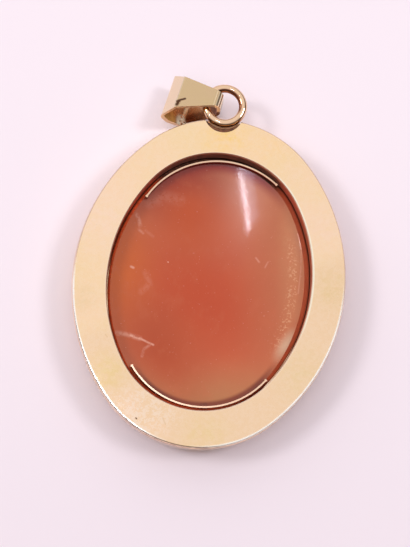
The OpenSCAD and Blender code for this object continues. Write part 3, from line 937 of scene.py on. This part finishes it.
def bevel_material():
    """The ground rim of the shell: red brown with a painted glow to the left, painted shade at its edge,
    nearly black behind the upper strip.
    """
    s = Shader("shell_bevel", shell_tints["bevel, left"], Roughness=0.35)
    # Painted glow: the bevel is brighter to the left and darker to the right.
    s.paint(s.rise(s.along("X"), *bevel_turns_darker), shell_tints["bevel, right"])
    # Painted shade along the bevel's outer edge.
    edge = s.fall(s.stored("edge"), *edge_distances["bevel's edge"])
    s.paint(edge, shell_tints["bevel's edge"], share=0.75)
    s.paint(s.pattern("bevel"), shell_tints["bevel's spots"], share=0.35)
    # Painted shade behind the upper strip, nearly black and streaked.
    dark = s.mix(s.pattern("bevel streaks", stretch=(0.3, 2, 1), turn=0.3),
                 shell_tints["bevel's streaks"], shell_tints["bevel's streaks, pale"])
    s.paint(s.patch(*patches["bevel's streaks"]), dark)
    return s.finish(Normal=s.bump(s.noise(*noises["bevel's relief"]), relief_depths["bevel"]))


def carved_material():
    """The carved front: a brown ground below a cream layer that the relief is cut from."""
    s = Shader("shell_front", shell_tints["carved ground"], Roughness=0.35)
    relief = s.stored("relief")
    s.paint(s.noise(*noises["carved ground"]), shell_tints["carved ground, pale"])
    cream = s.mix(s.rise(relief, *cream_turns_opaque), shell_tints["cream, thin"], shell_tints["cream"])
    s.paint(s.rise(relief, *cream_starts), cream)
    return s.finish(Normal=s.bump(s.noise(*noises["carving's relief"]), relief_depths["carving"]))


def floor_material():
    """Pale pinkish paper, with painted shade that makes it a little darker towards the camera's side."""
    s = Shader("paper", paper_near, Roughness=0.8)
    s.paint(s.rise(s.along("Y"), -paper_turn, paper_turn), paper_far)
    return s.finish(Normal=s.bump(s.noise(*noises["paper's relief"]), relief_depths["paper"]))


def reach(oval, turn):
    """Distance of an oval's outline from its centre in the directions turn, in radians."""
    end_r, side_r, up, back = arcs(oval)
    shoulder = math.radians(oval[2])
    x, y = np.abs(np.cos(turn)), np.abs(np.sin(turn))
    end = y * up + np.sqrt(np.maximum(0, end_r ** 2 - (x * up) ** 2))
    side = -x * back + np.sqrt(np.maximum(0, side_r ** 2 - (y * back) ** 2))
    at_end = (y * end - up) * math.cos(shoulder) > x * end * math.sin(shoulder)
    return np.where(at_end, end, side)


def petals(away, turn, radius, count, first):
    """Height of a ring of petals, at a distance and a direction in degrees."""
    lobe = np.radians(count * (turn - first) / 2)
    edge = radius * (1 - petal_scallop + petal_scallop * np.abs(np.cos(lobe)))
    share = away / edge
    veins = petal_vein * np.cos(petal_veins * lobe) * np.sin(np.pi * np.clip(share, 0, 1))
    bowl = petal_middle + (1 - petal_middle) * share ** 2
    height = bowl - petal_groove * np.abs(np.sin(lobe)) ** 6 + veins
    rim = np.clip((1 - share) / petal_rim, 0, 1)
    return np.where(share >= 1, 0, height * rim)


def swell(share):
    """A round swelling, 1 in its middle and 0 from its edge on."""
    return np.where(share >= 1, 0, 1 - share ** 2)


def bud(away, height, radius):
    """Height of a flower's round middle."""
    return height * swell(away / radius)


def rose(x, y):
    """Height of the rose, at a place measured from its middle."""
    away = np.hypot(x, y) / rose_radius
    turn = np.degrees(np.arctan2(y, x))
    rings = [height * petals(away, turn, *ring) for height, *ring in rose_rings]
    return np.maximum.reduce(rings + [bud(away, *rose_bud)])


def leaf(x, y, root, direction, size):
    """Height of a toothed leaf with veins, from its root in a direction in degrees."""
    a = math.radians(direction)
    u = ((x - root[0]) * math.cos(a) + (y - root[1]) * math.sin(a)) / size
    v = (-(x - root[0]) * math.sin(a) + (y - root[1]) * math.cos(a)) / size
    inside = np.clip(u, 0.001, 0.999)
    teeth = 1 + leaf_tooth * np.sin(leaf_tooth_rate * inside)
    across = np.abs(v) / (leaf_half * np.sin(np.pi * inside ** leaf_skew) * teeth)
    veins = leaf_vein * np.cos(leaf_vein_rate * (inside - leaf_vein_slant * np.abs(v)))
    tip = np.minimum(1, leaf_tip_slope * (1 - inside))
    height = leaf_top * (1 - leaf_fall * across ** 2) * tip + veins
    height = height - leaf_groove * np.clip(1 - np.abs(v) / leaf_groove_half, 0, 1)
    rim = np.clip((1 - across) / leaf_rim, 0, 1)
    return np.where((u <= 0) | (u >= 1) | (across >= 1), 0, height * rim)


def blossom(x, y, middle):
    """Height of a small flower with one ring of petals."""
    dx, dy = x - middle[0], y - middle[1]
    away = np.hypot(dx, dy) / blossom_radius
    turn = np.degrees(np.arctan2(dy, dx))
    height, *ring = blossom_ring
    return np.maximum(height * petals(away, turn, *ring), bud(away, *blossom_bud))


def stem(x, y, centre, radius, first, last):
    """Height of a stem that bends round a centre, from the first direction to the last."""
    away = np.hypot(x - centre[0], y - centre[1])
    turn = np.degrees(np.arctan2(y - centre[1], x - centre[0]))
    height = stem_height * swell(np.abs(away - radius) / stem_half)
    return np.where((turn < first) | (turn > last), 0, height)


def spot(row):
    """A place on the shell from shares of its half width and half length."""
    return row[0] * shell_oval[0], row[1] * shell_oval[1]


def carving(x, y):
    """Height of the carving, from 0 to 1: a rose with leaves, small blossoms and a stem."""
    heights = [rose(x, y - rose_up * shell_oval[1])]
    heights += [leaf(x, y, spot(row), row[2], leaf_length) for row in leaves]
    heights += [blossom(x, y, spot(row)) for row in blossoms]
    heights += [stem(x, y, spot(row), row[2] * shell_oval[0], row[3], row[4]) for row in stems]
    return np.maximum(np.maximum.reduce(heights), 0)


def shell_points():
    """The shell's points, as x, y, z and relief, ring by ring from the dish round the rim to the front."""
    turns = np.arange(spokes) * 2 * math.pi / spokes
    rim = reach(shell_oval, turns)
    broader = (1 + np.cos(turns - math.radians(bevel_widest_at))) / 2
    bevel = bevel_narrow + (bevel_wide - bevel_narrow) * broader
    rings = []

    def add_ring(radius, height, relief=0.0):
        zeros = np.zeros(spokes)
        rings.append(np.stack([radius * np.cos(turns), radius * np.sin(turns), height + zeros,
                               relief + zeros], axis=1))

    for k in range(1, back_rings + 1):
        share = k / back_rings
        add_ring(share * (rim - bevel), shell_back - dish_depth * (1 - share ** 2))
    add_ring(rim, shell_back - bevel_fall)
    add_ring(rim, shell_front)
    for k in range(front_rings, 0, -1):
        share = k / front_rings
        radius = share * (rim - shell_seat)
        relief = carving(radius * np.cos(turns), radius * np.sin(turns))
        ground = shell_front - front_bulge * (1 - share ** 2)
        add_ring(radius, ground - carving_height * relief, relief)
    middle_relief = float(carving(np.zeros(1), np.zeros(1))[0])
    dish_middle = [0, 0, shell_back - dish_depth, 0]
    front_middle = [0, 0, shell_front - front_bulge - carving_height * middle_relief, middle_relief]
    return np.concatenate([[dish_middle]] + rings + [[front_middle]])


def shell_faces(last):
    """The shell's faces, and for each the number of its material: back, bevel with edge, or front."""
    faces, kinds = [], []
    ring = [(i, (i + 1) % spokes) for i in range(spokes)]
    for i, j in ring:
        faces.append((0, 1 + i, 1 + j))
        kinds.append(0)
    ring_count = (last - 1) // spokes
    for k in range(ring_count - 1):
        a, b = 1 + k * spokes, 1 + (k + 1) * spokes
        kind = 0 if k < back_rings - 1 else 1 if k < back_rings + 1 else 2
        for i, j in ring:
            faces.append((a + i, b + i, b + j, a + j))
            kinds.append(kind)
    a = 1 + (ring_count - 1) * spokes
    for i, j in ring:
        faces.append((last, a + j, a + i))
        kinds.append(2)
    return faces, kinds


def make_shell(finishes):
    """The cameo's shell: dished back, ground bevel, edge and carved front, from the CAD's sizes."""
    points = shell_points()
    faces, kinds = shell_faces(len(points) - 1)
    mesh = bpy.data.meshes.new("shell")
    mesh.from_pydata((points[:, :3] * MM).tolist(), [], faces)
    away = np.hypot(points[:, 0], points[:, 1])
    outline = reach(shell_oval, np.arctan2(points[:, 1], points[:, 0]))
    for name, values in (("relief", points[:, 3]), ("edge", outline - away)):
        stored = mesh.attributes.new(name, "FLOAT", "POINT")
        stored.data.foreach_set("value", values.astype(np.float32))
    mesh.polygons.foreach_set("material_index", kinds)
    mesh.polygons.foreach_set("use_smooth", [True] * len(faces))
    mesh.set_sharp_from_angle(angle=math.radians(sharp_angle))
    for finish in finishes:
        mesh.materials.append(finish)
    mesh.update()
    shell = bpy.data.objects.new("carved_shell", mesh)
    bpy.context.collection.objects.link(shell)
    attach(shell, "pendant")
    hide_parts("cameo")


def make_floor():
    """The square of paper that the pendant lies on."""
    mesh = bpy.data.meshes.new("floor")
    corners = [(-floor_half, -floor_half, 0), (floor_half, -floor_half, 0),
               (floor_half, floor_half, 0), (-floor_half, floor_half, 0)]
    mesh.from_pydata(corners, [], [(0, 1, 2, 3)])
    mesh.materials.append(floor_material())
    floor = bpy.data.objects.new("floor", mesh)
    bpy.context.collection.objects.link(floor)


def make_sky():
    """Pale light from a wide cap of the sky that leans to the upper left; dark brown elsewhere."""
    world = bpy.data.worlds.new("studio")
    world.use_nodes = True
    tree = world.node_tree
    background = tree.nodes["Background"]
    coordinates = tree.nodes.new("ShaderNodeTexCoord")
    along = tree.nodes.new("ShaderNodeVectorMath")
    along.operation = "DOT_PRODUCT"
    along.inputs[1].default_value = Vector(sky_lean).normalized()
    ramp = tree.nodes.new("ShaderNodeValToRGB")
    tree.links.new(coordinates.outputs["Generated"], along.inputs[0])
    tree.links.new(along.outputs["Value"], ramp.inputs[0])
    tree.links.new(ramp.outputs[0], background.inputs["Color"])
    stops = ramp.color_ramp.elements
    stops[0].position, stops[1].position = sky_stops[0][0], sky_stops[-1][0]
    for place, colour in sky_stops[1:-1]:
        stops.new(place)
    for stop, (place, colour) in zip(stops, sky_stops):
        stop.color = colour
    background.inputs["Strength"].default_value = sky_strength
    bpy.context.scene.world = world


def make_lamp(name, where, shape, width, energy, colour):
    """A lamp at a place in millimetres, facing straight down."""
    data = bpy.data.lights.new(name, "AREA")
    data.shape = shape
    data.size = width * MM
    data.energy = energy
    data.color = colour
    lamp = bpy.data.objects.new(name, data)
    bpy.context.collection.objects.link(lamp)
    lamp.location = Vector(where) * MM
    return lamp


def place_lamps():
    """Two broad soft lamps, a small one, and the two long ones that the shell mirrors."""
    for name, (azimuth, elevation, away, width, energy, colour) in lamps.items():
        a, e = math.radians(azimuth), math.radians(elevation)
        where = (away * math.cos(a) * math.cos(e), away * math.sin(a) * math.cos(e),
                 away * math.sin(e))
        lamp = make_lamp(name, where, "DISK", width, energy, colour)
        aim = Vector(lamp_aim) * MM - lamp.location
        lamp.rotation_euler = aim.to_track_quat("-Z", "Y").to_euler()
    for name, (where, width, length, energy, colour) in streaks.items():
        lamp = make_lamp(name, where, "RECTANGLE", width, energy, colour)
        lamp.data.size_y = length * MM
        lamp.rotation_euler = (0, 0, math.radians(streak_turn))


make_camera()
bpy.context.scene.view_settings.view_transform = "Standard"
make_sky()
make_floor()
place_lamps()

strip_finish = strip_gold()
finishes = {"frame": frame_gold(), "upper_strip": strip_finish, "lower_strip": strip_finish,
            "bail": bail_gold()}
for name, finish in finishes.items():
    nodes[name].data.materials.clear()
    nodes[name].data.materials.append(finish)
make_shell((shell_material(), bevel_material(), carved_material()))
